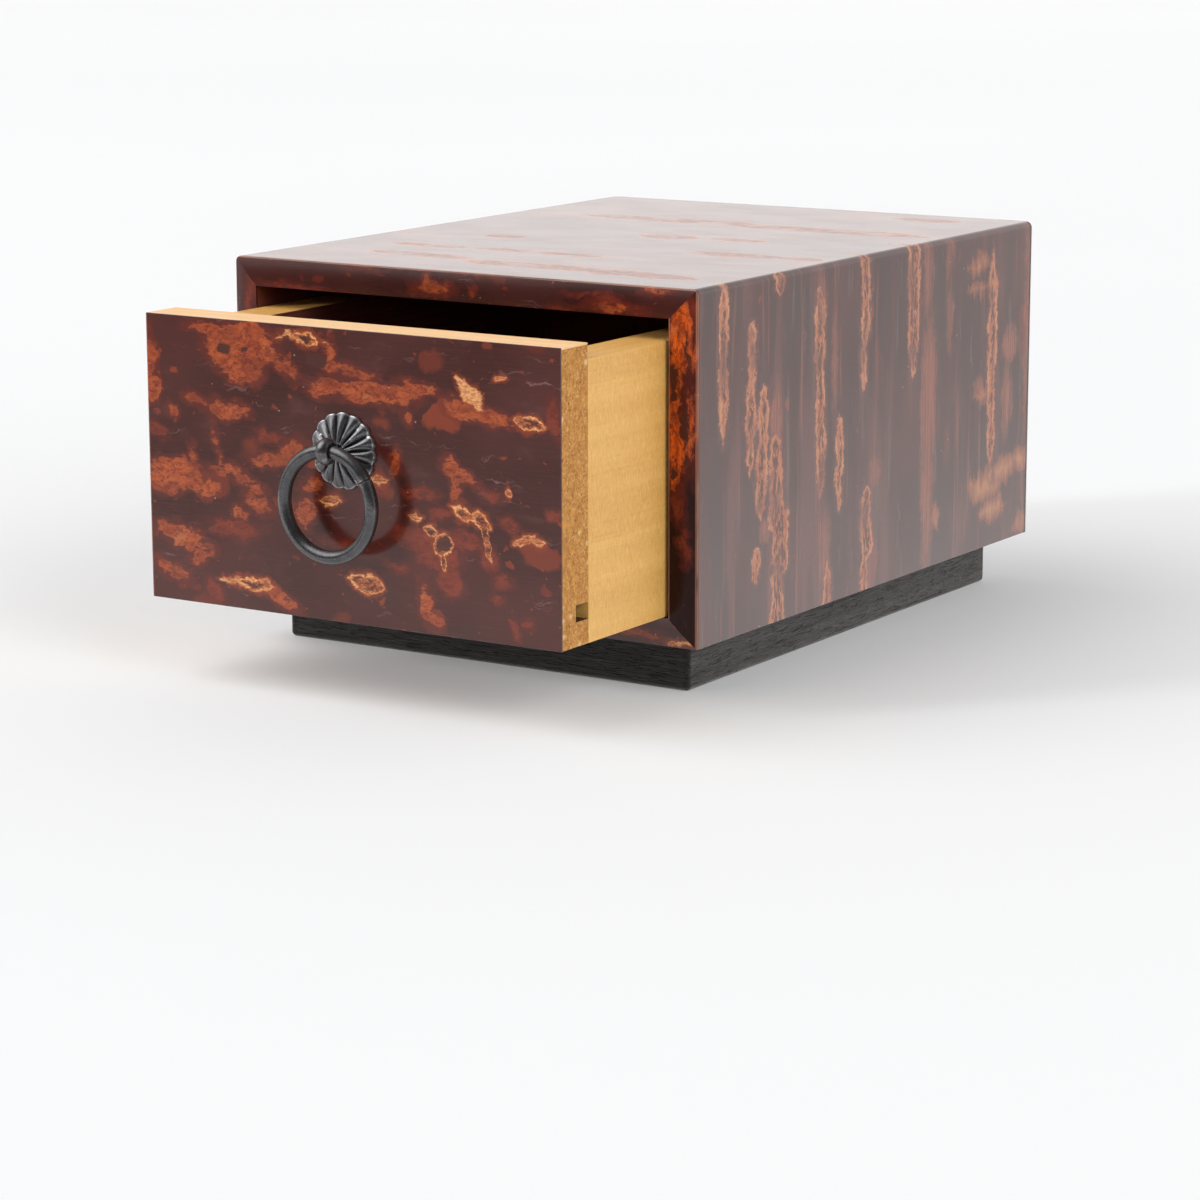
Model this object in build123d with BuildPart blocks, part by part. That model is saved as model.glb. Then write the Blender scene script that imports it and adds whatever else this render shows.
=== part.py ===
from build123d import *
import os
from math import cos, radians, sin, sqrt

# A one-drawer tea box: a bark-covered casing on a low black plinth, with one drawer and an iron ring pull.
#
# Frame: X to the right along the drawer front, Y towards the back, Z up. The origin is on the surface that
# the box stands on, in the middle of its whole outline, with the drawer partly open and the ring hanging
# straight down. Millimetres.

os.makedirs("parts", exist_ok=True)

# ---- Casing ---------------------------------------------------------------------------------------
case_width = 104.2           # over the bark
case_depth = 135.4           # from the front frame's outer edge to the back
case_height = 66.0           # without the plinth
wall = 5.5                   # a board and its bark
bark = 0.5                   # thickness of every bark sheet
frame_swell = 1.0            # how far the front frame's inner edge stands ahead of its outer edge
case_corner = 1.2            # rounding of the two long upper corners, over the bark
corner_bulge = 0.33          # the rounding's middle, from the sharp corner, as a share of its size

# ---- Plinth ---------------------------------------------------------------------------------------
plinth_height = 10.0
plinth_side_inset = 6.0
plinth_end_inset = 7.0
plinth_rail = 12.0           # width of each rail, seen from below
plinth_corner = 1.0          # rounding of the upright corners
plinth_arris = 0.99          # rounding of the lower outer edges, a little less so that the corners stay sound

# ---- Drawer ---------------------------------------------------------------------------------------
drawer_width = 91.5
drawer_length = 129.5        # over the front's bark
drawer_lift = 0.12           # running gap under the drawer
drawer_open = 34.9           # how far out it stands
closed_recess = 0.5          # face of the closed drawer, behind the frame's inner edge
front_height = 53.6
front_thickness = 8.8        # with its bark
edging = 0.4                 # pale strip on the front's top edge
side_height = 50.8
side_thickness = 9.0
back_thickness = 9.0
groove_rise = 4.5            # from the boards' lower edges to the groove for the bottom
groove_height = 3.0
groove_depth = 4.0
bottom_thickness = 2.7
bottom_tongue = 3.8          # how far the bottom reaches into the grooves

# ---- Ring pull ------------------------------------------------------------------------------------
pull_offset = -0.6           # the hole is drilled a little left of the middle
pull_rise = 31.7             # from the drawer's lower edge to the hole
pin_hole = 3.4               # diameter
rosette_radius = 7.0
rosette_rise = 2.4
rosette_sheet = 0.7          # thickness of the pressed sheet
rosette_lip = 0.4            # height of the rim's edge
rosette_bore = 1.7           # radius of the hole for the pin
rosette_shoulder = 0.66      # where the outer curve is steepest, as a share of the radius
rosette_hollow = 0.62        # the same for the curve underneath
rosette_fall = 0.78          # height left there, as a share of the rise
rosette_flutes = 15
rosette_notch = 0.45         # radius of the notch between two petals at the rim
pin_width = 2.4
pin_strip = 0.95             # thickness of the strip that the split pin is bent from
pin_flank = 0.35             # how thick the strip's edges are, as a share of its middle
eye_radius = 1.55            # inside the eye
eye_reach = 5.3              # from the drawer's face to the eye's centre
eye_raise = 0.6              # the eye is bent up this far from the hole's axis
leg_length = 6.5             # each clinched leg behind the front
ring_radius = 9.67           # to the middle of the rod
rod_radius = 1.26
seam_angle = 30.0            # where the ring's two ends meet, above the horizontal on the right
seam_arc = 1.2               # degrees left open there

# ---- What follows from those ------------------------------------------------------------------------
board = wall - bark
outer_x = case_width / 2
inner_x = outer_x - wall
case_floor = plinth_height
case_top = plinth_height + case_height
inner_floor = case_floor + wall
inner_ceiling = case_top - wall
case_middle = (case_floor + case_top) / 2
pull_reach = eye_reach + eye_radius + pin_strip
front_reach = case_depth / 2 + frame_swell - closed_recess + drawer_open + pull_reach
case_centre = (front_reach - case_depth / 2) / 2
outer_front = case_centre - case_depth / 2
inner_front = outer_front - frame_swell
outer_back = case_centre + case_depth / 2
boards_back = outer_back - bark
swell_radius = (wall**2 + frame_swell**2) / (2 * frame_swell)
swell_centre = inner_front + swell_radius

drawer_x = drawer_width / 2
drawer_floor = inner_floor + drawer_lift
drawer_face = inner_front + closed_recess - drawer_open
drawer_back = drawer_face + drawer_length
front_back = drawer_face + front_thickness
side_top = drawer_floor + side_height
side_inner_x = drawer_x - side_thickness
groove_floor = drawer_floor + groove_rise
bottom_top = groove_floor + bottom_thickness

pull_z = drawer_floor + pull_rise
pull_centre = (pull_offset, drawer_face, pull_z)
eye_centre = (pull_offset, drawer_face - eye_reach, pull_z + eye_raise)
ring_centre = (eye_centre[0], eye_centre[1], eye_centre[2] - ring_radius)

# Each wall's section plane: x runs to the back, y outward from the wall's inner face.
wall_planes = {
    "top": Plane(origin=(0, 0, inner_ceiling), x_dir=(0, 1, 0), z_dir=(1, 0, 0)),
    "bottom": Plane(origin=(0, 0, inner_floor), x_dir=(0, 1, 0), z_dir=(-1, 0, 0)),
    "left": Plane(origin=(-inner_x, 0, case_middle), x_dir=(0, 1, 0), z_dir=(0, 0, 1)),
    "right": Plane(origin=(inner_x, 0, case_middle), x_dir=(0, 1, 0), z_dir=(0, 0, -1)),
}
half_lengths = {"top": outer_x, "bottom": outer_x, "left": case_height / 2, "right": case_height / 2}


def finish(piece, label):
    """Name a piece and write it."""
    piece.part.label = label
    export_step(piece.part, f"parts/{label}.step")


def swell(height, depth):
    """Y of the front frame's curve at a height above the wall's inner face, at a depth under its surface."""
    return swell_centre - sqrt((swell_radius - depth) ** 2 - height**2)


def swell_arc(height, depth):
    """The front frame's curve from the wall's inner face out to a height."""
    return ThreePointArc(
        (swell(0, depth), 0), (swell(height / 2, depth), height / 2), (swell(height, depth), height)
    )


def board_section(side, thickness):
    """Section of a casing board, with its front edge on the frame's curve."""
    with BuildSketch(wall_planes[side]) as section:
        with BuildLine():
            swell_arc(thickness, bark)
            Polyline(
                (swell(thickness, bark), thickness),
                (boards_back, thickness),
                (boards_back, 0),
                (swell(0, bark), 0),
            )
        make_face()
    return section.sketch


def front_waste(side):
    """Section of what is cut off the boards' ends, under the frame's curve on the left or right."""
    with BuildSketch(wall_planes[side]) as section:
        with BuildLine():
            swell_arc(wall, bark)
            Polyline((swell(wall, bark), wall), (inner_front, wall), (inner_front, 0), (swell(0, bark), 0))
        make_face()
    return section.sketch


def frame_section(side):
    """Section of a bark strip of the front frame."""
    with BuildSketch(wall_planes[side]) as section:
        with BuildLine():
            swell_arc(wall, 0)
            Line((swell(wall, 0), wall), (swell(wall, bark), wall))
            swell_arc(wall, bark)
            Line((swell(0, bark), 0), (swell(0, 0), 0))
        make_face()
    return section.sketch


def case_outline(inset):
    """Front view of the casing, with its two upper corners rounded."""
    x, top, corner = outer_x - inset, case_top - inset, case_corner - inset
    middle = corner * corner_bulge
    with BuildSketch(Plane.XZ) as outline:
        with BuildLine():
            Polyline((-x, top - corner), (-x, case_floor), (x, case_floor), (x, top - corner))
            ThreePointArc((x, top - corner), (x - middle, top - middle), (x - corner, top))
            Line((x - corner, top), (corner - x, top))
            ThreePointArc((corner - x, top), (middle - x, top - middle), (-x, top - corner))
        make_face()
    return outline.sketch


def mitre_planes(side):
    """The two planes that cut a front strip's mitres, facing away from the strip."""
    right, up = {"top": (0, 1), "right": (1, 0), "bottom": (0, -1), "left": (-1, 0)}[side]
    half_height = case_height / 2 - wall
    for turn in (-1, 1):
        corner = (right * inner_x + turn * up * inner_x, 0, case_middle + (up - turn * right) * half_height)
        yield Plane(origin=corner, z_dir=(turn * up - right, 0, -turn * right - up))


def mitre_outline(plane, side, outer, inner, centre):
    """The trapezium that one side of a mitred frame fills. outer and inner are half sizes."""
    first, last = {
        "top": ((-1, 1), (1, 1)),
        "right": ((1, 1), (1, -1)),
        "bottom": ((1, -1), (-1, -1)),
        "left": ((-1, -1), (-1, 1)),
    }[side]
    with BuildSketch(plane) as outline:
        with BuildLine():
            Polyline(
                (first[0] * outer[0], centre + first[1] * outer[1]),
                (last[0] * outer[0], centre + last[1] * outer[1]),
                (last[0] * inner[0], centre + last[1] * inner[1]),
                (first[0] * inner[0], centre + first[1] * inner[1]),
                close=True,
            )
        make_face()
    return outline.sketch


# ---- Casing boards ----------------------------------------------------------------------------------
with BuildPart() as casing_top_board:
    extrude(board_section("top", board), amount=outer_x - bark, both=True)
    for side in ("left", "right"):
        extrude(front_waste(side), amount=case_height, both=True, mode=Mode.SUBTRACT)
    extrude(case_outline(bark), amount=case_depth, both=True, mode=Mode.INTERSECT)
finish(casing_top_board, "casing_top_board")

with BuildPart() as casing_bottom_board:
    extrude(board_section("bottom", wall), amount=outer_x - bark, both=True)
    for side in ("left", "right"):
        extrude(front_waste(side), amount=case_height, both=True, mode=Mode.SUBTRACT)
finish(casing_bottom_board, "casing_bottom_board")

for side in ("left", "right"):
    with BuildPart() as casing_side_board:
        extrude(board_section(side, board), amount=case_height / 2 - wall, both=True)
    finish(casing_side_board, f"casing_{side}_board")

with BuildPart() as casing_back_board:
    with BuildSketch(Plane.XZ.offset(-boards_back)):
        with Locations((0, case_middle)):
            Rectangle(2 * inner_x, case_height - 2 * wall)
    extrude(amount=board)
finish(casing_back_board, "casing_back_board")

# ---- Casing bark ------------------------------------------------------------------------------------
# One sheet runs up the left side, over the top and down the right side.
with BuildPart() as casing_bark_wrap:
    extrude(case_outline(0), amount=-swell(wall, bark))
    extrude(case_outline(0), amount=-boards_back)
    extrude(case_outline(bark), amount=case_depth, both=True, mode=Mode.SUBTRACT)
finish(casing_bark_wrap, "casing_bark_wrap")

with BuildPart() as casing_bark_back:
    extrude(case_outline(0), amount=-outer_back)
    split(bisect_by=Plane.XZ.offset(-boards_back), keep=Keep.BOTTOM)
finish(casing_bark_back, "casing_bark_back")

# The front frame's four strips meet in mitres.
for side in ("top", "right", "bottom", "left"):
    with BuildPart() as frame_strip:
        extrude(frame_section(side), amount=half_lengths[side], both=True)
        for mitre in mitre_planes(side):
            split(bisect_by=mitre, keep=Keep.BOTTOM)
        if side != "bottom":
            extrude(case_outline(0), amount=case_depth, mode=Mode.INTERSECT)
    finish(frame_strip, f"frame_bark_{side}")

# ---- Plinth -----------------------------------------------------------------------------------------
plinth_x = outer_x - plinth_side_inset
plinth_y = case_depth / 2 - plinth_end_inset
rail_x = plinth_x - plinth_rail
rail_y = plinth_y - plinth_rail

with BuildPart() as plinth_ring:
    with BuildSketch():
        with Locations((0, case_centre)):
            RectangleRounded(2 * plinth_x, 2 * plinth_y, plinth_corner)
    extrude(amount=plinth_height)
    fillet(plinth_ring.faces().sort_by(Axis.Z)[0].edges(), plinth_arris)
    with BuildSketch():
        with Locations((0, case_centre)):
            Rectangle(2 * rail_x, 2 * rail_y)
    extrude(amount=plinth_height, mode=Mode.SUBTRACT)

for side, label in {"bottom": "front", "top": "back", "left": "left", "right": "right"}.items():
    with BuildPart() as plinth_side:
        add(plinth_ring.part)
        mitre = mitre_outline(Plane.XY, side, (plinth_x, plinth_y), (rail_x, rail_y), case_centre)
        extrude(mitre, amount=plinth_height, mode=Mode.INTERSECT)
    finish(plinth_side, f"plinth_{label}")

# ---- Drawer front -------------------------------------------------------------------------------------
front_middle = drawer_floor + front_height / 2
core_height = front_height - edging

with BuildPart() as drawer_front_board:
    with BuildSketch(Plane.XZ.offset(-front_back)):
        with Locations((0, drawer_floor + core_height / 2)):
            Rectangle(drawer_width, core_height)
        with Locations((pull_offset, pull_z)):
            Circle(pin_hole / 2, mode=Mode.SUBTRACT)
    extrude(amount=front_thickness - bark)
    with BuildSketch(Plane.XZ.offset(-front_back)):
        with Locations((0, groove_floor + groove_height / 2)):
            Rectangle(drawer_width, groove_height)
    extrude(amount=groove_depth, mode=Mode.SUBTRACT)
finish(drawer_front_board, "drawer_front_board")

with BuildPart() as drawer_front_edging:
    with BuildSketch(Plane.XZ.offset(-front_back)):
        with Locations((0, drawer_floor + front_height - edging / 2)):
            Rectangle(drawer_width, edging)
    extrude(amount=front_thickness - bark)
finish(drawer_front_edging, "drawer_front_edging")

with BuildPart() as drawer_front_bark:
    with BuildSketch(Plane.XZ.offset(-drawer_face - bark)):
        with Locations((0, front_middle)):
            Rectangle(drawer_width, front_height)
        with Locations((pull_offset, pull_z)):
            Circle(pin_hole / 2, mode=Mode.SUBTRACT)
    extrude(amount=bark)
finish(drawer_front_bark, "drawer_front_bark")

# ---- Drawer sides, back and bottom ----------------------------------------------------------------------
side_middle_z = drawer_floor + side_height / 2
side_length = drawer_back - front_back

for label, hand in {"left": -1, "right": 1}.items():
    with BuildPart() as drawer_side:
        with BuildSketch(Plane.XZ.offset(-drawer_back)):
            with Locations((hand * (drawer_x - side_thickness / 2), side_middle_z)):
                Rectangle(side_thickness, side_height)
            with Locations((hand * (side_inner_x + groove_depth / 2), groove_floor + groove_height / 2)):
                Rectangle(groove_depth, groove_height, mode=Mode.SUBTRACT)
        extrude(amount=side_length)
    finish(drawer_side, f"drawer_{label}_side")

with BuildPart() as drawer_back_board:
    with BuildSketch(Plane.XZ.offset(-drawer_back)):
        with Locations((0, (bottom_top + side_top) / 2)):
            Rectangle(2 * side_inner_x, side_top - bottom_top)
    extrude(amount=back_thickness)
finish(drawer_back_board, "drawer_back_board")

with BuildPart() as drawer_bottom:
    with BuildSketch(Plane.XY.offset(groove_floor)):
        with Locations((0, (front_back - bottom_tongue + drawer_back) / 2)):
            Rectangle(2 * (side_inner_x + bottom_tongue), drawer_back - front_back + bottom_tongue)
    extrude(amount=bottom_thickness)
finish(drawer_bottom, "drawer_bottom")

# ---- Ring pull ------------------------------------------------------------------------------------------
# Section planes through the hole's axis: in both, x or y is the distance out from the drawer's face.
rosette_plane = Plane(origin=pull_centre, x_dir=(1, 0, 0), z_dir=(0, 0, -1))
pin_plane = Plane(origin=pull_centre, x_dir=(0, -1, 0), z_dir=(-1, 0, 0))
pull_axis = Axis(pull_centre, (0, -1, 0))
rosette_under = rosette_rise - rosette_sheet
rosette_foot = rosette_radius - rosette_sheet
flank_radius = eye_radius + pin_flank * pin_strip

with BuildPart() as pull_rosette:
    with BuildSketch(rosette_plane):
        with BuildLine():
            ThreePointArc(
                (rosette_radius, rosette_lip),
                (rosette_shoulder * rosette_radius, rosette_fall * rosette_rise),
                (rosette_bore, rosette_rise),
            )
            Line((rosette_bore, rosette_rise), (rosette_bore, rosette_under))
            ThreePointArc(
                (rosette_bore, rosette_under),
                (rosette_hollow * rosette_radius, rosette_fall * rosette_rise - rosette_sheet),
                (rosette_foot, 0),
            )
            Polyline((rosette_foot, 0), (rosette_radius, 0), (rosette_radius, rosette_lip))
        make_face()
    revolve(axis=pull_axis)
    with BuildSketch(Plane(origin=pull_centre, x_dir=(1, 0, 0), z_dir=(0, -1, 0))):
        with PolarLocations(rosette_radius + rosette_notch / 2, rosette_flutes):
            Circle(rosette_notch)
    extrude(amount=rosette_rise, mode=Mode.SUBTRACT)
finish(pull_rosette, "pull_rosette")

# A split pin of half-round strip: its eye holds the ring, its legs go through the front and are clinched.
with BuildPart() as pull_eye:
    with BuildSketch(Plane(origin=eye_centre, x_dir=(1, 0, 0), z_dir=(0, -1, 0))):
        with BuildLine():
            ThreePointArc(
                (-pin_width / 2, flank_radius),
                (0, eye_radius + pin_strip),
                (pin_width / 2, flank_radius),
            )
            Polyline(
                (pin_width / 2, flank_radius),
                (pin_width / 2, eye_radius),
                (-pin_width / 2, eye_radius),
                (-pin_width / 2, flank_radius),
            )
        make_face()
    revolve(axis=Axis(eye_centre, (1, 0, 0)))
    with BuildSketch(pin_plane):
        shank_length = front_thickness + eye_reach - eye_radius - pin_strip / 2
        with Locations((-front_thickness, 0)):
            Rectangle(shank_length, 2 * pin_strip, align=(Align.MIN, Align.CENTER))
            Rectangle(pin_strip, 2 * leg_length, align=(Align.MAX, Align.CENTER))
    extrude(amount=pin_width / 2, both=True)
finish(pull_eye, "pull_eye")

# The ring is bent from rod, with its two ends meeting on the right.
seam_x = (cos(radians(seam_angle)), 0, sin(radians(seam_angle)))
seam_z = (-sin(radians(seam_angle)), 0, cos(radians(seam_angle)))
with BuildPart() as pull_ring:
    with BuildSketch(Plane(origin=ring_centre, x_dir=seam_x, z_dir=seam_z)):
        with Locations((ring_radius, 0)):
            Circle(rod_radius)
    revolve(axis=Axis(ring_centre, (0, 1, 0)), revolution_arc=360 - seam_arc)
finish(pull_ring, "pull_ring")
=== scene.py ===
import math

import bpy
from mathutils import Matrix, Vector


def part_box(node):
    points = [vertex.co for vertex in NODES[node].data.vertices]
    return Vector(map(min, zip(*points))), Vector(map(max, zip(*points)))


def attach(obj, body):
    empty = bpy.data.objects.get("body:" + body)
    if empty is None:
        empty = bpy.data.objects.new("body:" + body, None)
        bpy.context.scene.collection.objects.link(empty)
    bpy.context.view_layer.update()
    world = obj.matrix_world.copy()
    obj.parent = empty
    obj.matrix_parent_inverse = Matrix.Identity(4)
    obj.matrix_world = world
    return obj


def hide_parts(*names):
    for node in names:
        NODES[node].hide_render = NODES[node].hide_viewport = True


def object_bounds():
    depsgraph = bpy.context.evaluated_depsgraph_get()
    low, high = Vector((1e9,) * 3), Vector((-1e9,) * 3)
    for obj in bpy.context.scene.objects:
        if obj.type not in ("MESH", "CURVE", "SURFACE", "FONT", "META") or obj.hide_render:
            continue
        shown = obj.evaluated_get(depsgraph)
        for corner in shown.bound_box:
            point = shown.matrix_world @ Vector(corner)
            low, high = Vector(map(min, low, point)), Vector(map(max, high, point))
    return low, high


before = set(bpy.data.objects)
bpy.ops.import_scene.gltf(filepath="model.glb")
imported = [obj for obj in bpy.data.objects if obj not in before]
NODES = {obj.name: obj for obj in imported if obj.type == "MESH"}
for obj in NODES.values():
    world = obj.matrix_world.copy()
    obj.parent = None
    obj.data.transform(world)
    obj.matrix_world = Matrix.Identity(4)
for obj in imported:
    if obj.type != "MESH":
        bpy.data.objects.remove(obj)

CAD_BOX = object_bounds()
MM = 0.001
SOCKETS = {"specular_ior_level": "Specular IOR Level"}


# ---------------------------------------------------------------- shader nets

class Tree:
    """A tree of shader nodes, laid down by short calls."""

    def __init__(self, tree):
        self.tree = tree
        self.tree.nodes.clear()

    def node(self, kind, **settings):
        made = self.tree.nodes.new(kind)
        for key, value in settings.items():
            setattr(made, key, value)
        return made

    def feed(self, socket, value):
        """A socket takes another node's output, or a plain value."""
        if isinstance(value, bpy.types.NodeSocket):
            self.tree.links.new(value, socket)
        elif value is not None:
            if socket.type == "RGBA" and len(value) == 3:
                value = (*value, 1.0)
            socket.default_value = value

    def calc(self, operation, a, b=None, c=None):
        made = self.node("ShaderNodeMath", operation=operation)
        for socket, value in zip(made.inputs, (a, b, c)):
            self.feed(socket, value)
        return made.outputs[0]

    def split(self, vector):
        made = self.node("ShaderNodeSeparateXYZ")
        self.feed(made.inputs[0], vector)
        return made.outputs

    def join(self, x, y, z=0.0):
        made = self.node("ShaderNodeCombineXYZ")
        for socket, value in zip(made.inputs, (x, y, z)):
            self.feed(socket, value)
        return made.outputs[0]

    def vector(self, operation, a, b=None):
        made = self.node("ShaderNodeVectorMath", operation=operation)
        self.feed(made.inputs[0], a)
        self.feed(made.inputs[1], b)
        return made.outputs["Value" if operation in ("LENGTH", "DOT_PRODUCT") else "Vector"]

    def noise(self, place, sizes, detail=2.0, rough=0.5, colour=False):
        """A noise whose lumps have the given sizes."""
        made = self.node("ShaderNodeTexNoise", noise_dimensions="3D")
        self.feed(made.inputs["Vector"], self.vector("DIVIDE", place, sizes))
        made.inputs["Scale"].default_value = 1.0
        made.inputs["Detail"].default_value = detail
        made.inputs["Roughness"].default_value = rough
        return made.outputs["Color" if colour else "Fac"]

    def cells(self, place, sizes):
        """Cells of the given sizes: the distance from each one's seed, and its own random colour."""
        made = self.node("ShaderNodeTexVoronoi", feature="F1")
        self.feed(made.inputs["Vector"], self.vector("DIVIDE", place, sizes))
        made.inputs["Scale"].default_value = 1.0
        return made.outputs["Distance"], made.outputs["Color"]

    def step(self, value, low, high, to_low=0.0, to_high=1.0):
        """A soft step of a value between two limits."""
        made = self.node("ShaderNodeMapRange", interpolation_type="SMOOTHSTEP")
        for key, number in zip(("Value", "From Min", "From Max", "To Min", "To Max"),
                               (value, low, high, to_low, to_high)):
            self.feed(made.inputs[key], number)
        return made.outputs["Result"]

    def mix(self, share, a, b):
        made = self.node("ShaderNodeMix", data_type="RGBA")
        self.feed(made.inputs["Factor"], share)
        self.feed(made.inputs["A"], a)
        self.feed(made.inputs["B"], b)
        return made.outputs["Result"]


class Net(Tree):
    """One surface's material. Places on the surface are in millimetres."""

    def __init__(self, name):
        self.material = bpy.data.materials.new(name)
        self.material.use_nodes = True
        super().__init__(self.material.node_tree)
        place = self.node("ShaderNodeTexCoord")
        scaled = self.node("ShaderNodeVectorMath", operation="SCALE")
        self.tree.links.new(place.outputs["Object"], scaled.inputs[0])
        scaled.inputs["Scale"].default_value = 1 / MM
        self.place = scaled.outputs[0]
        self.x, self.y, self.z = self.split(self.place)

    def finish(self, colour, roughness, height=None, relief=0.1, **settings):
        """The surface itself: its colour, roughness, relief in millimetres, and plain settings."""
        shader = self.node("ShaderNodeBsdfPrincipled")
        self.feed(shader.inputs["Base Color"], colour)
        self.feed(shader.inputs["Roughness"], roughness)
        for key, value in settings.items():
            self.feed(shader.inputs[SOCKETS.get(key, key.replace("_", " ").title())], value)
        if height is not None:
            bump = self.node("ShaderNodeBump")
            bump.inputs["Strength"].default_value = 1.0
            bump.inputs["Distance"].default_value = relief * MM
            self.feed(bump.inputs["Height"], height)
            self.feed(shader.inputs["Normal"], bump.outputs[0])
        out = self.node("ShaderNodeOutputMaterial")
        self.feed(out.inputs[0], shader.outputs[0])
        return self.material


def wander(net, place, size, reach, depth=0):
    """The same place, pushed about by a noise of that size. depth is 1 where it's pushed along z too."""
    push = net.vector("SUBTRACT", net.noise(place, (size, size, size), 2.0, 0.6, True), (0.5, 0.5, 0.5))
    return net.vector("ADD", place, net.vector("MULTIPLY", push, (reach, reach, reach * depth)))


# ---------------------------------------------------------------- shapes on a flat sheet

def local_axes(net, flat, shape):
    """Where the place lies on a tilted shape's own two axes, where 1 is its end or its side.

    flat's third number is 1, so that one dot product also moves the origin."""
    u, v, long, wide, tilt = shape
    cos, sin = math.cos(math.radians(tilt)), math.sin(math.radians(tilt))
    along = net.vector("DOT_PRODUCT", flat, (cos / long, sin / long, -(u * cos + v * sin) / long))
    across = net.vector("DOT_PRODUCT", flat, (-sin / wide, cos / wide, (u * sin - v * cos) / wide))
    return along, across


def mound(net, flat, shape):
    """Signed distance in millimetres, about, from one ellipse (u, v, half length, half width, tilt)."""
    along, across = local_axes(net, flat, shape)
    reach = net.calc("MULTIPLY_ADD", along, along, net.calc("MULTIPLY", across, across))
    half = min(shape[2], shape[3]) / 2
    return net.calc("MULTIPLY_ADD", reach, half, -half)


def lens(net, flat, shape):
    """Signed distance in millimetres, about, from one lens with pointed ends."""
    along, across = local_axes(net, flat, shape)
    bulge = net.calc("MULTIPLY_ADD", along, along, -1.0)
    total = net.calc("ADD", bulge, net.calc("ABSOLUTE", across))
    return net.calc("MULTIPLY", total, shape[3])


def band(net, flat, shape):
    """Signed distance in millimetres, about, from one straight-sided streak with blunt points."""
    along, across = local_axes(net, flat, shape)
    blunt = net.calc("POWER", net.calc("ABSOLUTE", along), 5.0)
    total = net.calc("ADD", net.calc("ABSOLUTE", across), blunt)
    return net.calc("MULTIPLY_ADD", total, shape[3], -shape[3])


def union(net, flat, shapes, form, soft):
    """The signed distance from all of the shapes together."""
    total = None
    for shape in shapes:
        one = form(net, flat, shape)
        total = one if total is None else net.calc("SMOOTH_MIN", total, one, soft)
    return total


# ---------------------------------------------------------------- cherry bark

# the polished ground
GROUND_DARK = (0.034, 0.0050, 0.0030)
GROUND_MAUVE = (0.054, 0.0115, 0.0088)
GROUND_GREEN = (0.030, 0.0140, 0.0110)
# the near-black that painted shade darkens the bark towards
SHADE_BLACK = (0.010, 0.002, 0.0015)
SMOKE = (0.088, 0.026, 0.024)
FIBRE = (0.085, 0.019, 0.013)
THREAD = (0.105, 0.027, 0.019)
SCUFF = (0.24, 0.125, 0.125)
DUST = (0.45, 0.32, 0.27)
SAWN = (0.40, 0.19, 0.125)
# its islands
MAROON = (0.095, 0.013, 0.007)
RED = (0.19, 0.028, 0.011)
ORANGE_DEEP = (0.215, 0.034, 0.0085)
ORANGE = (0.325, 0.066, 0.0150)
ORANGE_RIM = (0.35, 0.078, 0.020)
FLAME = (0.60, 0.090, 0.006)
TAN = (0.37, 0.125, 0.042)
HALO = (0.110, 0.0150, 0.0070)
# the long bands of the wrap
ROSE = (0.120, 0.042, 0.036)
UMBER = (0.026, 0.014, 0.012)
LICHEN = (0.105, 0.095, 0.080)
BRICK = (0.20, 0.050, 0.026)
SALMON = (0.31, 0.095, 0.052)
# lenticels and the pale under-bark
GOLD = (0.56, 0.19, 0.055)
CREAM = (0.74, 0.39, 0.16)
UNDER_BARK = (0.44, 0.16, 0.055)
STRAW = (0.50, 0.24, 0.105)
PITH = (0.050, 0.013, 0.008)
STREAK_TAN = (0.38, 0.125, 0.052)
STREAK_RED = (0.28, 0.070, 0.027)
STREAK_PALE = (0.52, 0.235, 0.115)
STREAK_RIM = (0.56, 0.255, 0.125)
STREAK_SLIT = (0.070, 0.018, 0.010)
STREAK_HALO = (0.150, 0.042, 0.026)


class Sheet(Net):
    """A sheet of bark, with the places and noises that its layers share. long draws its figure out."""

    def __init__(self, name, flat_of, long):
        super().__init__(name)
        self.long = long
        self.flat = flat_of(self)
        self.wavy = wander(self, wander(self, self.flat, 5.0, 3.6), 1.5, 1.7)
        self.fibre = self.noise(self.flat, (9.0 * long, 0.16, 1.0), 3.0, 0.6)
        self.thread = self.noise(self.flat, (14.0 * long, 0.45, 1.0), 2.0, 0.7)
        self.grit = self.noise(self.flat, (0.8 * long, 0.36, 0.6), 3.0, 0.75)
        self.mottle = self.noise(self.flat, (3.6 * long, 1.5, 1.5), 4.0, 0.7)


def ground(net, painted_shade):
    """Dark polished bark, clouded with mauve, green and smoke, and threaded along the lenticels. It is darkened
    towards black by the given share of painted shade.
    """
    drift = net.noise(net.flat, (38, 26, 30), 2.0)
    colour = net.mix(net.step(drift, 0.38, 0.62), GROUND_DARK, GROUND_MAUVE)
    green = net.noise(net.flat, (46, 15, 20), 2.0)
    colour = net.mix(net.step(green, 0.54, 0.72, 0, 0.85), colour, GROUND_GREEN)
    smoke = net.noise(net.flat, (15, 8, 9), 3.0, 0.65)
    colour = net.mix(net.step(smoke, 0.54, 0.76, 0, 0.55), colour, SMOKE)
    colour = net.mix(net.step(net.fibre, 0.42, 0.70, 0, 0.22), colour, FIBRE)
    colour = net.mix(net.step(net.thread, 0.55, 0.80, 0, 0.22), colour, THREAD)
    scuff = net.noise(net.wavy, (11 * net.long, 1.1, 2), 3.0, 0.6)
    colour = net.mix(net.step(scuff, 0.62, 0.76, 0, 0.45), colour, SCUFF)
    # painted shade: the whole ground darkened towards black by the given share
    return net.mix(painted_shade, colour, SHADE_BLACK) if painted_shade else colour


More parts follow.
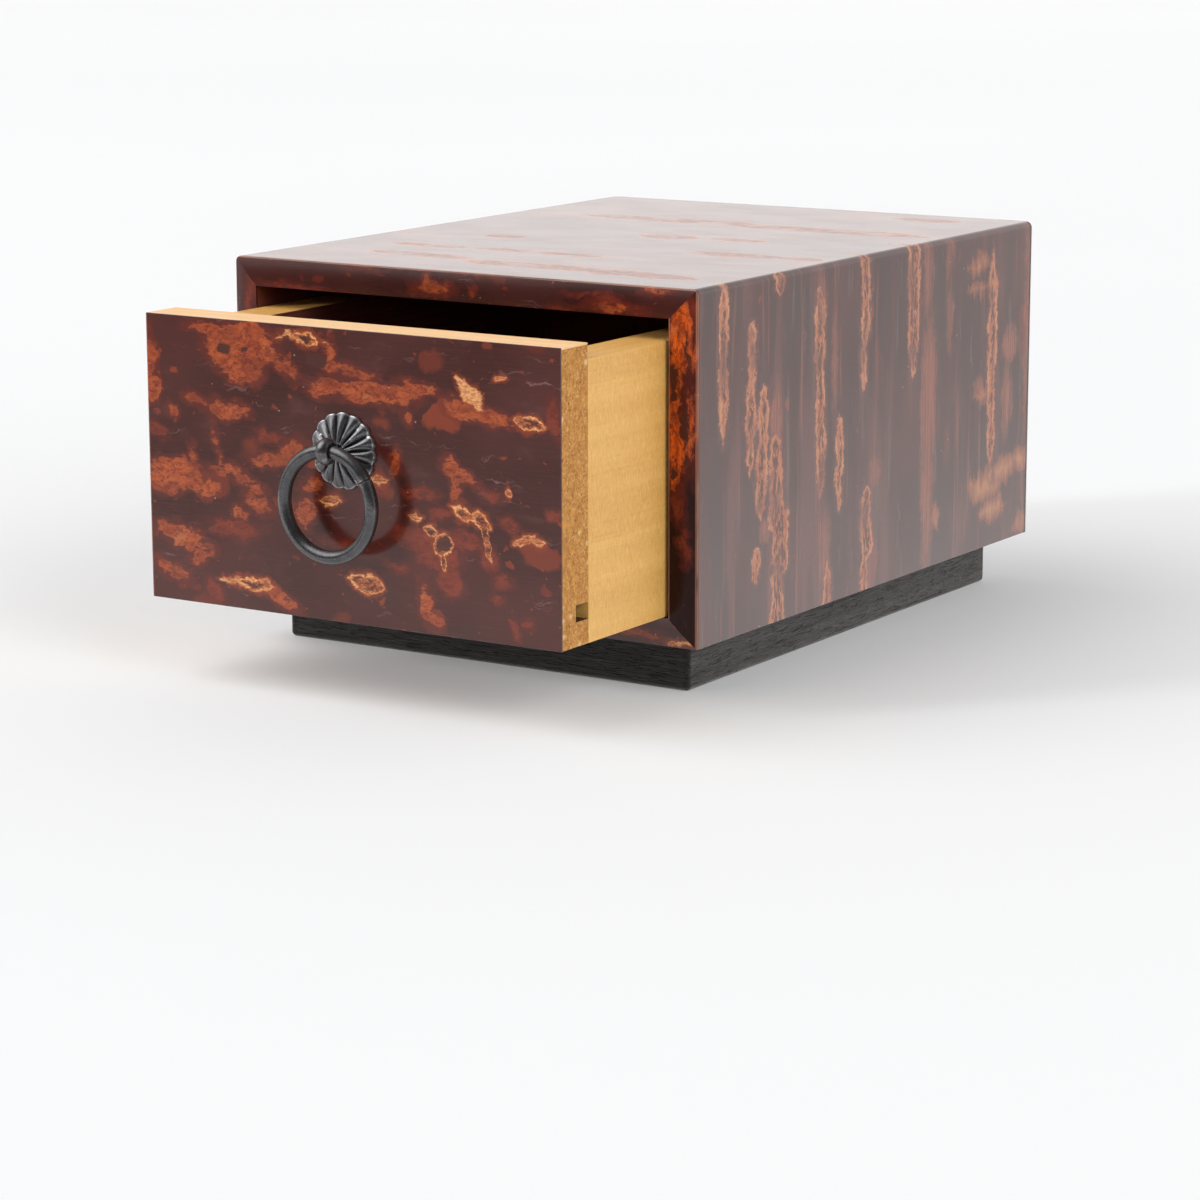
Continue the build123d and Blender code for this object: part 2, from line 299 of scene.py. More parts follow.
def specks(net, colour, wild):
    """Red islands and specks, scattered by cells of three sizes. wild is the share of cells filled."""
    for cell, share, spread, strength in (
        (7.0, wild, 0.46, 0.7),
        (2.6, wild * 0.8, 0.34, 0.85),
        (1.1, wild * 0.5, 0.30, 0.8),
    ):
        spot, tone = net.cells(net.wavy, (cell * 1.5 * net.long, cell, cell))
        pick = net.split(tone)
        size = net.step(pick[0], 1.0 - share, 1.0, 0.0, spread)
        island = net.step(net.calc("SUBTRACT", spot, size), -0.10, 0.04, 1, 0)
        island = net.calc("MULTIPLY", island, net.step(pick[0], 1.0 - share, 1.02 - share))
        cover = net.calc("MULTIPLY", island, strength)
        colour = net.mix(cover, colour, net.mix(pick[1], MAROON, ORANGE_DEEP))
    return colour


def ragged_edge(net):
    """What is added to a signed distance, in millimetres, to fray a shape's edge."""
    coarse = net.calc("SUBTRACT", net.mottle, 0.5)
    both = net.calc("MULTIPLY_ADD", coarse, 3.0, net.calc("MULTIPLY", net.grit, 0.7))
    return net.calc("SUBTRACT", both, 0.35)


def lay_bands(net, colour, ragged, bands):
    """Long soft bands, and the grey, umber and salmon trails between them."""
    tint = net.noise(net.flat, (70, 6.5, 8), 3.0, 0.6)
    colour = net.mix(net.step(tint, 0.50, 0.64, 0, 0.55), colour, ROSE)
    colour = net.mix(net.step(tint, 0.36, 0.48, 0.50, 0), colour, UMBER)
    trail = net.noise(net.flat, (34, 1.5, 2), 2.0, 0.55)
    colour = net.mix(net.step(trail, 0.58, 0.74, 0, 0.35), colour, SALMON)
    trail = net.noise(net.flat, (26, 2.1, 3), 2.0, 0.55)
    colour = net.mix(net.step(trail, 0.60, 0.76, 0, 0.45), colour, LICHEN)
    field = net.calc("MULTIPLY_ADD", ragged, 0.8, union(net, net.wavy, bands, mound, 0.8))
    inside = net.step(field, -1.8, 0.9, 0.75, 0)
    return net.mix(inside, colour, net.mix(net.step(net.thread, 0.40, 0.62), SALMON, BRICK))


def lay_reds(net, colour, ragged, reds):
    """Soft red islands."""
    field = net.calc("ADD", union(net, net.wavy, reds, mound, 0.8), ragged)
    colour = net.mix(net.step(field, 0.1, 1.3, 0.45, 0), colour, MAROON)
    inside = net.step(field, -0.45, 0.20, 0.82, 0)
    body = net.mix(net.step(net.mottle, 0.36, 0.64), MAROON, RED)
    body = net.mix(net.step(net.grit, 0.46, 0.66, 0, 0.6), body, ORANGE_DEEP)
    return net.mix(inside, colour, body)


def lay_blotches(net, colour, ragged, blotches, orange):
    """Orange islands with maroon veins and a brighter rim, in a red halo."""
    field = net.calc("ADD", union(net, net.wavy, blotches, mound, 0.9), ragged)
    colour = net.mix(net.step(field, 0.1, 1.8, 0.62, 0), colour, HALO)
    cloud = net.noise(net.wavy, (7.5, 4.2, 5), 3.0, 0.65)
    solid = net.step(field, -0.42, 0.16, 1, 0)
    inside = net.calc("MULTIPLY", solid, net.step(cloud, 0.36, 0.50, 0.55, 0.97))
    body = net.mix(net.step(net.mottle, 0.34, 0.62), ORANGE_DEEP, orange)
    body = net.mix(net.step(cloud, 0.56, 0.70, 0, 0.45), body, TAN)
    body = net.mix(net.step(net.grit, 0.52, 0.68, 0, 0.80), body, RED)
    crease = net.noise(net.wavy, (3.4, 1.7, 2), 3.0, 0.6)
    vein = net.calc("ABSOLUTE", net.calc("SUBTRACT", crease, 0.5))
    body = net.mix(net.step(vein, 0.0, 0.045, 0.80, 0), body, MAROON)
    body = net.mix(net.step(field, -0.7, -0.2, 0, 0.35), body, ORANGE_RIM)
    return net.mix(inside, colour, body)


def lay_patches(net, colour, ragged, patches, tone, edge):
    """Places rubbed through to the pale under-bark. edge is how softly they end, in millimetres."""
    field = net.calc("MULTIPLY_ADD", ragged, 0.8 + edge, union(net, net.wavy, patches, lens, 0.3))
    colour = net.mix(net.step(field, 0.0, 1.0, 0.5, 0), colour, ORANGE_DEEP)
    inside = net.step(field, -3 * edge, edge, 0.80, 0)
    return net.mix(inside, colour, net.mix(net.step(net.grit, 0.38, 0.66), UNDER_BARK, tone))


def lay_streaks(net, colour, streaks):
    """Long corky lenticels with a slit along them. Gives the colour, and how far they cover the ground."""
    near = wander(net, wander(net, net.flat, 8.0, 1.8), 1.6, 1.2)
    beads = net.noise(net.flat, (2.4 * net.long, 3.0, 2.0), 3.0, 0.65)
    lumpy = net.calc("SUBTRACT", beads, 0.5)
    field = net.calc("MULTIPLY_ADD", lumpy, 4.0, union(net, near, streaks, band, 0.4))
    field = net.calc("MULTIPLY_ADD", net.calc("SUBTRACT", net.grit, 0.5), 1.4, field)
    colour = net.mix(net.step(field, -0.1, 1.5, 0.60, 0), colour, STREAK_HALO)
    gaps = net.step(net.noise(net.flat, (9, 6, 5), 2.0), 0.34, 0.50, 0.35, 0.97)
    inside = net.calc("MULTIPLY", net.step(field, -0.40, 0.40, 1, 0), gaps)
    slit = net.calc("MULTIPLY", net.step(net.noise(near, (2.6, 0.8, 1), 3.0, 0.7), 0.44, 0.52),
                    net.step(field, -1.3, -0.6, 0.95, 0))
    body = net.mix(net.step(beads, 0.40, 0.60), STREAK_TAN, STREAK_RED)
    body = net.mix(net.step(net.grit, 0.48, 0.66, 0, 0.6), body, STREAK_PALE)
    rim = net.calc("MULTIPLY", net.step(field, -0.80, -0.40), net.step(net.mottle, 0.42, 0.60, 0.0, 0.65))
    body = net.mix(rim, body, STREAK_RIM)
    body = net.mix(slit, body, STREAK_SLIT)
    return net.mix(inside, colour, body), inside


def lay_lenses(net, colour, ragged, lenses):
    """Short lenticels: a cream outline round tan cork, with a dark core."""
    near = wander(net, wander(net, net.flat, 3.2, 2.2), 0.9, 1.0)
    field = net.calc("MULTIPLY_ADD", ragged, 0.60, union(net, near, lenses, lens, 0.15))
    colour = net.mix(net.step(field, 0.0, 1.2, 0.7, 0), colour, ORANGE_DEEP)
    inside = net.step(field, -0.16, 0.14, 1, 0)
    broken = net.step(net.mottle, 0.36, 0.58, 0.15, 0.85)
    outline = net.calc("MULTIPLY", net.step(field, -0.55, -0.20), broken)
    core = net.calc("MULTIPLY", net.step(field, -0.90, -0.55, 0.9, 0), net.step(net.mottle, 0.42, 0.54))
    body = net.mix(net.step(net.grit, 0.38, 0.60), ORANGE_DEEP, TAN)
    body = net.mix(core, body, PITH)
    body = net.mix(outline, body, net.mix(net.step(net.grit, 0.38, 0.58), GOLD, CREAM))
    return net.mix(inside, colour, body)


def lay_pits(net, colour, ragged, pits):
    """Small dark hollows."""
    field = net.calc("MULTIPLY_ADD", ragged, 0.4, union(net, net.wavy, pits, mound, 0.2))
    return net.mix(net.step(field, -0.15, 0.25, 0.95, 0), colour, PITH)


def dusty(net, colour):
    """A pale fleck in one cell out of fifteen or so."""
    spot, tone = net.cells(net.flat, (1.9, 1.9, 1.9))
    few = net.step(net.split(tone)[0], 0.93, 0.95)
    fleck = net.calc("MULTIPLY", net.step(spot, 0.04, 0.11, 1, 0), few)
    return net.mix(net.calc("MULTIPLY", fleck, 0.6), colour, DUST)


def sawn_edge(net, colour, axis, place, width):
    """The sawn edge of the sheet shows as a thin pale line, across that axis."""
    gap = net.calc("ABSOLUTE", net.calc("SUBTRACT", (net.x, net.y, net.z)[axis], place))
    uneven = net.step(net.thread, 0.30, 0.55, 0.25, 0.85)
    line = net.calc("MULTIPLY", net.step(gap, width * 0.5, width, 1, 0), uneven)
    return net.mix(net.calc("MULTIPLY", line, 0.6), colour, SAWN)


def bark(name, flat_of, blotches=(), reds=(), lenses=(), patches=(), pits=(), streaks=(), bands=(), cut=(),
         wild=0.5, long=1.0, patch_tone=CREAM, patch_edge=0.15, orange=ORANGE, painted_shade=0.0, relief=0.015,
         gloss=0.5, coat=0.30):
    """Polished cherry bark, layer over layer.

    flat_of gives the place on the flat sheet: along the lenticels, then across them. The shapes of each layer
    are in that sheet's millimetres. cut has the sheet's sawn edges: axis, place and width."""
    net = Sheet(name, flat_of, long)
    colour = specks(net, ground(net, painted_shade), wild)
    ragged = ragged_edge(net)
    worn = None
    if bands:
        colour = lay_bands(net, colour, ragged, bands)
    if reds:
        colour = lay_reds(net, colour, ragged, reds)
    if blotches:
        colour = lay_blotches(net, colour, ragged, blotches, orange)
    if patches:
        colour = lay_patches(net, colour, ragged, patches, patch_tone, patch_edge)
    if streaks:
        colour, worn = lay_streaks(net, colour, streaks)
    if lenses:
        colour = lay_lenses(net, colour, ragged, lenses)
    if pits:
        colour = lay_pits(net, colour, ragged, pits)
    colour = dusty(net, colour)
    for axis, place, width in cut:
        colour = sawn_edge(net, colour, axis, place, width)

    height = net.calc("MULTIPLY_ADD", net.thread, 0.6, net.calc("MULTIPLY", net.mottle, 0.5))
    rough = net.step(net.noise(net.flat, (22, 12, 12), 3.0, 0.6), 0.35, 0.70, 0.23, 0.26)
    if worn is not None:
        rough = net.calc("MULTIPLY_ADD", worn, 0.12, rough)
    return net.finish(colour, rough, height, relief,
                      specular_ior_level=gloss, coat_weight=coat, coat_roughness=0.09)


def along_x(net):
    return net.join(net.x, net.z, 1.0)


def along_z(net):
    return net.join(net.z, net.x, 1.0)


def wrapped(net):
    """The wrap opened flat: across the top from x, then down either side. The second axis is y."""
    drop = net.calc("SUBTRACT", CAD_BOX[1][2] / MM, net.z)
    over = net.calc("MULTIPLY_ADD", net.calc("SIGN", net.x), drop, net.x)
    return net.join(over, net.y, 1.0)


# ---------------------------------------------------------------- where the bark's figure lies

# on the drawer's front: x, z, half length, half height, tilt in degrees
FRONT_ORANGE = [
    (-23.5, 64.4, 8.2, 4.6, 0), (-24, 60.2, 4.8, 2.8, 0), (-31.5, 67.3, 3.6, 0.9, -6),
    (-13.8, 61.4, 3.2, 1.3, -28), (-4.0, 58.6, 4.6, 1.7, 0), (3.0, 58.2, 5.4, 1.8, -6),
    (10.5, 58.0, 4.4, 1.8, 0), (16.3, 59.9, 3.8, 1.1, -12), (0.6, 61.9, 4.8, 0.9, -12),
    (-3.6, 64.2, 1.1, 2.6, 0), (25.5, 57.0, 4.3, 1.7, -10), (31.4, 56.0, 4.6, 1.1, -8),
    (-45, 61, 1.2, 4.2, 0), (-44.6, 55.2, 2.0, 2.2, 0), (-35, 54.2, 1.8, 0.9, -10),
    (-27.4, 52.5, 4.4, 1.6, -6), (-39.8, 51.2, 1.4, 0.9, -50), (-35.4, 44, 0.8, 1.3, 0),
    (-29.6, 45, 0.5, 4.0, 8), (-40, 40.8, 6.0, 1.7, 0), (-41.5, 38, 5.2, 2.4, 0),
    (-36, 38.5, 3.0, 1.9, 0), (-31.4, 37.4, 2.2, 1.6, 10), (-27, 41.2, 3.8, 1.2, -8),
    (-22.5, 39.4, 3.4, 1.1, -18), (-20.4, 35.6, 3.4, 1.2, -28), (-16.6, 44.1, 4.6, 1.2, 4),
    (-12.8, 46.4, 2.8, 1.4, 20), (-9.5, 35, 2.2, 2.6, 0), (-8, 40.2, 2.2, 1.1, 10),
    (-38, 28, 4.8, 1.8, -14), (-43, 29.4, 1.8, 1.3, 0), (-34, 24.2, 2.6, 1.2, 20),
    (-34.4, 26.4, 2.4, 0.7, -8), (-40.5, 21, 3.6, 1.4, -18), (-15.6, 18.4, 3.8, 1.3, -26),
    (22.4, 46.2, 1.5, 2.0, 10), (25.2, 44.6, 3.4, 1.1, -24), (23.4, 42.4, 0.9, 2.8, 4),
    (17.2, 21.0, 1.5, 3.6, 6), (18.3, 18.0, 2.2, 1.1, -28), (-24.6, 33.8, 1.4, 1.1, 0),
    (10.6, 45.6, 1.0, 2.0, 0), (13.2, 54.4, 0.8, 1.1, 30),
]
FRONT_RED = [
    (15, 33, 4.6, 2.3, -5), (25.6, 33.2, 3.6, 1.8, 0), (20, 29.4, 5.2, 2.2, 0), (22.6, 25.4, 3.0, 2.6, 0),
    (10.6, 27.4, 2.6, 1.0, 0), (15.5, 41, 3.8, 1.6, 5), (20.6, 37.8, 2.2, 1.1, 0),
    (-26, 30.6, 6.0, 1.6, 0), (-31, 18.4, 2.4, 1.5, -35), (33.2, 26.5, 1.9, 1.0, 0),
    (32.4, 23.8, 1.2, 0.9, 0), (38.7, 19.9, 1.5, 1.1, 0), (35, 37.2, 1.8, 1.3, 0),
    (31, 41.6, 2.4, 1.1, 0), (44.4, 40, 1.4, 1.3, 0), (-2, 30.2, 3.4, 1.1, 0),
    (-43.6, 47.6, 2.2, 1.5, -20), (-18, 48.4, 3.0, 1.1, 0), (44.4, 56.5, 1.6, 3.2, 0),
    (36, 18.2, 1.0, 2.2, 0), (7.4, 42.6, 1.6, 2.6, 0), (30.6, 30.6, 1.6, 2.4, 15),
    (-14.2, 36.2, 2.4, 1.3, 0),
]
FRONT_LENSES = [
    (-8.8, 67.0, 3.2, 1.3, -4), (39.4, 55.5, 3.4, 1.4, -6), (-21.6, 20.6, 5.0, 1.25, -2),
    (3.8, 23.4, 4.4, 1.9, -9), (20.8, 32.2, 2.3, 2.2, 0), (18.2, 34.6, 1.5, 1.2, -20),
    (25.2, 38.3, 2.8, 1.2, -24), (29.2, 37.4, 2.5, 1.4, -35), (30.2, 33.6, 1.0, 3.4, 12),
    (38.2, 34.9, 2.4, 0.8, 22), (41.4, 34.7, 1.5, 0.6, -15), (-4.0, 37.9, 2.8, 0.9, 6),
    (34.8, 43.1, 0.9, 1.0, 0), (7.0, 42.6, 2.0, 0.8, 5), (14.6, 36.8, 1.6, 0.6, 0),
    (33.4, 63.1, 1.2, 0.5, 0), (21.0, 29.2, 0.8, 1.7, 0),
]
FRONT_PITS = [
    (-27.0, 63.3, 1.5, 0.8, -8), (-23.4, 64.0, 0.6, 0.4, 0), (20.8, 32.3, 1.3, 1.2, 0),
    (18.2, 34.5, 0.7, 0.4, 0), (-8.8, 66.9, 1.1, 0.5, -10), (-6.5, 63.2, 2.0, 1.2, 0),
    (41.0, 38.6, 1.6, 0.8, 0),
]
FRONT_CREAM = [
    (26.6, 60.3, 4.0, 1.7, -42), (-13.0, 67.2, 2.6, 0.6, 6), (-5.2, 66.8, 2.2, 0.6, -14),
    (-26.6, 20.9, 2.6, 0.7, 4),
]


def down(z):
    """Where a height on the casing's right side comes on the opened wrap."""
    return (CAD_BOX[1][0] + CAD_BOX[1][2]) / MM - z


def streak(y, top, bottom, half):
    """A lenticel that runs down the right side between two heights. half takes in the halo round it."""
    cork = 0.82
    return (down((top + bottom) / 2), y, (top - bottom) / 2, half * cork, 0)


# long lenticels down the casing's right side: y, upper and lower height, half width
SIDE_STREAKS = [streak(*row) for row in (
    (-36.8, 78, 46, 1.9), (-27.2, 57.5, 40, 1.7), (-26.4, 68, 55, 1.2), (-22.4, 56, 42, 2.0),
    (-16.4, 77, 72, 1.9), (-23.0, 46, 31, 2.4), (-17.6, 46, 26, 2.6), (-24.6, 25.5, 18.5, 1.2),
    (-15.6, 33, 18, 3.6), (-16.8, 21, 6, 2.7), (-1.2, 72.5, 53, 2.3), (-0.6, 57, 31, 2.2),
    (7.0, 46, 27, 1.7), (17.0, 80, 58, 2.3), (16.6, 59, 50, 1.2), (18.2, 31, 16, 2.5), (17.4, 17, 5, 1.6),
    (2.6, 18, 4, 1.9), (37.0, 82, 50, 2.9), (72.0, 72, 24, 2.1),
)]
# soft bands and rubbed places down the same side: place on the wrap, y, half length, half width, tilt
SIDE_BANDS = [
    (down(48), -17.6, 7.5, 2.4, 0), (down(28), -21.6, 2.0, 2.0, 0), (down(44), 43.8, 18, 3.6, 0),
    (down(26), 43.4, 19, 2.8, 0), (down(71), 43.0, 9, 2.2, 0), (down(60), 52.8, 7, 1.7, 0),
    (down(73), 52.4, 5, 1.6, 0), (down(51), 80, 4.2, 3.6, 0), (down(40), 79, 8, 2.6, 0),
    (down(55), 88, 24, 1.6, 0), (down(33), 21.6, 3.2, 2.2, 0), (down(20), 2.2, 9, 1.6, 0),
    (down(57), 4.6, 8, 1.3, 0), (down(68), -1.0, 6, 2.2, 0), (down(44), 66, 2.4, 2.4, 0),
]
SIDE_TAN = [
    (down(69.4), 65.5, 4.6, 1.6, 90), (down(64.8), 65.5, 4.0, 1.0, 90), (down(22.8), 69.0, 8.0, 2.8, 86),
    (down(25.0), 77.5, 6.5, 2.6, 94), (down(17.6), 73.0, 6.0, 2.8, 90), (down(26.4), 85.5, 5.0, 2.6, 90),
    (down(12.4), 86.5, 3.4, 1.5, 90), (down(20.0), 47.4, 2.2, 1.6, 0), (down(42.0), 67.5, 4.0, 1.6, 90),
]
# the left side's, which the photograph doesn't show, as if on the right and then turned over
LEFT_STREAKS = [(-u, *rest) for u, *rest in (
    streak(-28, 70, 44, 2.0), streak(-3, 60, 20, 2.3), streak(14, 74, 52, 1.7), streak(33, 40, 14, 2.2),
    streak(61, 72, 36, 2.5),
)]
# the same sheet over the top: x, y, half length, half width, tilt
TOP_STREAKS = [
    (7.0, -30.6, 17, 3.9, -1), (32.0, -32.4, 13, 4.2, -3), (-22.0, -26.5, 13, 3.1, -3),
    (-5.0, -11.5, 16, 2.8, 0), (-30.0, -12.0, 9, 2.6, 0), (30.0, 4.5, 11, 3.4, 0), (44.0, 5.0, 6, 2.8, 0),
    (3.0, 25.0, 7, 3.4, 0), (18.0, 27.0, 6, 2.8, 0), (-26.0, 8.6, 5, 2.8, 0), (32.0, 80.0, 8, 3.4, 0),
    (-12, 52.5, 24, 4.0, 0), (24, 51.0, 25, 4.2, 0),
]
TOP_BANDS = [
    (-34, 51.5, 20, 3.2, 0), (0, 52.5, 26, 4.4, 0), (34, 51.5, 18, 4.2, 0), (-44, -26, 9, 2.2, 0),
    (-42, 3, 9, 2.6, 0), (12, -10.5, 7, 1.6, 0), (-38, -12.6, 9, 2.0, 0), (20, 81, 12, 2.4, 0),
]
# on the upright strips of the frame: z, x, half length, half width, tilt
RIGHT_STRIP = {
    "blotches": [
        (67.0, 48.9, 7.4, 2.2, 3), (56.0, 47.4, 7.5, 1.5, 0), (47.4, 48.5, 5.4, 2.1, 0),
        (51.5, 51.0, 6.4, 1.1, 0), (64.0, 51.6, 2.4, 0.9, 0), (41.5, 48.0, 2.2, 1.2, 0),
    ],
    "pits": [
        (60.4, 47.4, 2.4, 0.8, 0), (56.8, 47.8, 1.1, 0.7, 0), (51.0, 50.1, 4.2, 0.4, 4),
        (42.2, 47.6, 0.9, 0.7, 0), (65.4, 50.3, 2.6, 0.3, -6), (45.0, 49.9, 1.2, 0.35, 0),
    ],
    "reds": [(30, 49.8, 3.5, 1.0, 0), (72.6, 51.4, 1.6, 0.9, 0), (36.5, 48.4, 2.6, 1.1, 0)],
}
LEFT_STRIP = {
    "reds": [(66, -48.4, 5, 0.9, 0), (40, -50.0, 7, 1.1, 0), (22, -48.0, 4, 1.0, 0)],
    "blotches": [(72.0, -47.4, 2.2, 0.7, 0), (30, -47.4, 3.2, 0.6, 0)],
}
# on the level strips: x, z, half length, half width, tilt
TOP_STRIP = {
    "blotches": [
        (-5.4, 72.6, 3.4, 1.2, 0), (-7.0, 73.8, 1.0, 1.4, 0), (43.6, 75.5, 1.9, 0.5, 0),
        (35, 71.8, 4.0, 0.7, 0),
    ],
    "reds": [
        (-36, 70.8, 6, 0.6, 0), (23.6, 71.2, 2.2, 0.6, 0), (33.5, 73, 2.6, 0.9, 0),
        (-22, 75.2, 2.6, 0.4, 0), (3.6, 75.8, 2.6, 0.4, 0), (28, 73.8, 2, 0.3, 0),
    ],
}
BOTTOM_STRIP = {
    "reds": [(-30, 12.5, 6, 0.9, 0), (12, 13.2, 5, 0.8, 0)],
    "blotches": [(-8, 12.4, 2.4, 1.1, 0), (40, 12.0, 3, 0.7, 0)],
    "lenses": [(49.5, 10.9, 3.4, 0.5, 4), (-24, 13.2, 3.4, 0.9, 0)],
}
BACK_SHEET = {
    "blotches": [(-22, 52, 9, 2.2, 0), (18, 30, 11, 2.6, 0), (30, 62, 7, 1.6, 0)],
    "streaks": [(-24, 64, 13, 1.9, 0), (12, 47, 16, 2.2, 0), (-30, 27, 12, 1.8, 0), (28, 20, 10, 1.6, 0)],
}


# ---------------------------------------------------------------- woods and iron

def groove_shade(net):
    """1 on the faces of the groove that holds the drawer's bottom, which are painted dark as shade."""
    half, depth, blur = 1.50, 4.02, 0.06
    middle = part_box("drawer_bottom")[0][2] / MM + half
    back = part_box("drawer_front_board")[1][1] / MM
    deep = net.step(net.calc("SUBTRACT", back, net.y), depth, depth + blur, 1, 0)
    off = net.calc("ABSOLUTE", net.calc("SUBTRACT", net.z, middle))
    return net.calc("MULTIPLY", net.step(off, half, half + blur, 1, 0), deep)


def particle_board():
    net = Net("particle_board")
    base = net.noise(net.place, (1.1, 1.1, 1.1), 4.0, 0.7)
    colour = net.mix(net.step(base, 0.34, 0.68), (0.38, 0.150, 0.025), (0.57, 0.275, 0.062))
    _, chip = net.cells(net.place, (0.55, 0.38, 0.38))
    tone = net.split(chip)
    colour = net.mix(net.step(tone[0], 0.62, 1.0, 0, 0.45), colour, (0.76, 0.48, 0.18))
    colour = net.mix(net.step(tone[1], 0.66, 1.0, 0, 0.45), colour, (0.25, 0.095, 0.018))
    pale, pick = net.cells(net.place, (3.4, 2.6, 2.6))
    few = net.step(net.split(pick)[1], 0.72, 0.78)
    splinter = net.calc("MULTIPLY", net.step(pale, 0.12, 0.30, 1, 0), few)
    colour = net.mix(net.calc("MULTIPLY", splinter, 0.55), colour, (0.82, 0.62, 0.36))
    spot, pick = net.cells(net.place, (1.5, 1.1, 1.1))
    hole = net.calc("MULTIPLY", net.step(spot, 0.09, 0.19, 1, 0), net.step(net.split(pick)[2], 0.62, 0.66))
    colour = net.mix(net.calc("MULTIPLY", hole, 0.85), colour, (0.06, 0.020, 0.007))
    grain = net.noise(net.place, (0.22, 0.22, 0.22), 3.0, 0.7)
    colour = net.mix(net.step(grain, 0.52, 0.75, 0, 0.5), colour, (0.30, 0.125, 0.030))
    # the groove's faces darkened: painted shade
    colour = net.mix(net.calc("MULTIPLY", groove_shade(net), 0.9), colour, (0.035, 0.014, 0.006))
    height = net.calc("SUBTRACT", net.calc("MULTIPLY_ADD", tone[2], 0.5, grain), hole)
    return net.finish(colour, net.step(grain, 0.3, 0.7, 0.62, 0.82), height, 0.10)


def drawer_wood():
    """Pale sides with fine ray flecks. Their inner faces are stained dark, as the drawer is inside."""
    net = Net("drawer_wood")
    wobble = wander(net, net.place, 30.0, 1.2, 1)
    figure = net.noise(wobble, (4.0, 120.0, 3.2), 2.0, 0.5)
    colour = net.mix(net.step(figure, 0.34, 0.68), (0.70, 0.40, 0.110), (0.64, 0.35, 0.090))
    line = net.noise(wobble, (0.5, 90.0, 0.42), 3.0, 0.6)
    colour = net.mix(net.step(line, 0.54, 0.76, 0, 0.24), colour, (0.46, 0.22, 0.052))
    pores = net.noise(net.place, (0.12, 2.2, 0.12), 2.0, 0.6)
    colour = net.mix(net.step(pores, 0.58, 0.78, 0, 0.35), colour, (0.36, 0.17, 0.05))
    for sizes, strength, tone in (
        ((0.7, 0.24, 1.3), 0.50, (0.82, 0.53, 0.19)),
        ((0.5, 0.20, 1.1), 0.42, (0.48, 0.22, 0.050)),
    ):
        fleck = net.noise(net.place, sizes, 3.0, 0.7)
        colour = net.mix(net.step(fleck, 0.50, 0.66, 0, strength), colour, tone)
    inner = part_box("drawer_right_side")[0][0] / MM
    inside = net.step(net.calc("ABSOLUTE", net.x), inner + 0.02, inner + 0.12, 1, 0)
    stain = net.mix(net.step(line, 0.40, 0.70), (0.120, 0.036, 0.022), (0.070, 0.018, 0.012))
    colour = net.mix(inside, colour, stain)
    height = net.calc("MULTIPLY_ADD", pores, -0.8, line)
    return net.finish(colour, net.step(line, 0.3, 0.7, 0.42, 0.58), height, 0.05)


def drawer_lining():
    net = Net("drawer_lining")
    figure = net.noise(wander(net, net.place, 22.0, 1.5, 1), (60.0, 5.0, 5.0), 3.0, 0.55)
    colour = net.mix(net.step(figure, 0.34, 0.68), (0.100, 0.028, 0.018), (0.165, 0.050, 0.032))
    line = net.noise(net.place, (20.0, 0.35, 0.35), 3.0, 0.65)
    colour = net.mix(net.step(line, 0.55, 0.76, 0, 0.5), colour, (0.040, 0.010, 0.007))
    return net.finish(colour, net.step(line, 0.3, 0.7, 0.46, 0.62), line, 0.05)


def pale_edging():
    net = Net("pale_edging")
    figure = net.noise(net.place, (45.0, 2.2, 2.2), 3.0, 0.5)
    colour = net.mix(net.step(figure, 0.36, 0.66), (0.80, 0.52, 0.25), (0.74, 0.44, 0.18))
    line = net.noise(net.place, (18.0, 0.3, 0.3), 3.0, 0.65)
    colour = net.mix(net.step(line, 0.54, 0.78, 0, 0.4), colour, (0.62, 0.34, 0.12))
    return net.finish(colour, net.step(line, 0.3, 0.7, 0.45, 0.6), line, 0.04)


def stained_board():
    net = Net("stained_board")
    figure = net.noise(wander(net, net.place, 26.0, 1.5, 1), (5.0, 80.0, 4.0), 3.0, 0.55)
    colour = net.mix(net.step(figure, 0.34, 0.68), (0.110, 0.028, 0.018), (0.190, 0.055, 0.033))
    line = net.noise(net.place, (0.35, 26.0, 0.30), 3.0, 0.65)
    colour = net.mix(net.step(line, 0.55, 0.76, 0, 0.5), colour, (0.060, 0.014, 0.009))
    return net.finish(colour, net.step(line, 0.3, 0.7, 0.42, 0.62), line, 0.06)


def black_wood(name, along):
    """Open-grained wood under black stain. along is the axis that the grain follows."""
    net = Net(name)

    def drawn_out(long, wide):
        """A noise's sizes, long with the grain and wide across it."""
        return tuple(long if axis == along else wide for axis in range(3))

    figure = net.noise(wander(net, net.place, 14.0, 1.0, 1), drawn_out(60.0, 1.6), 3.0, 0.6)
    colour = net.mix(net.step(figure, 0.36, 0.66), (0.004, 0.004, 0.004), (0.012, 0.011, 0.010))
    lines = net.noise(net.place, drawn_out(7.0, 0.16), 3.0, 0.65)
    groove = net.step(lines, 0.50, 0.64)
    colour = net.mix(net.calc("MULTIPLY", groove, 0.7), colour, (0.052, 0.046, 0.043))
    open_pores = net.noise(net.place, drawn_out(4.6, 0.62), 3.0, 0.7)
    pit = net.step(open_pores, 0.54, 0.64)
    colour = net.mix(pit, colour, (0.003, 0.003, 0.003))
    height = net.calc("SUBTRACT", net.calc("MULTIPLY", lines, 0.8), pit)
    return net.finish(colour, net.step(figure, 0.3, 0.7, 0.34, 0.50), height, 0.24, specular_ior_level=0.32)


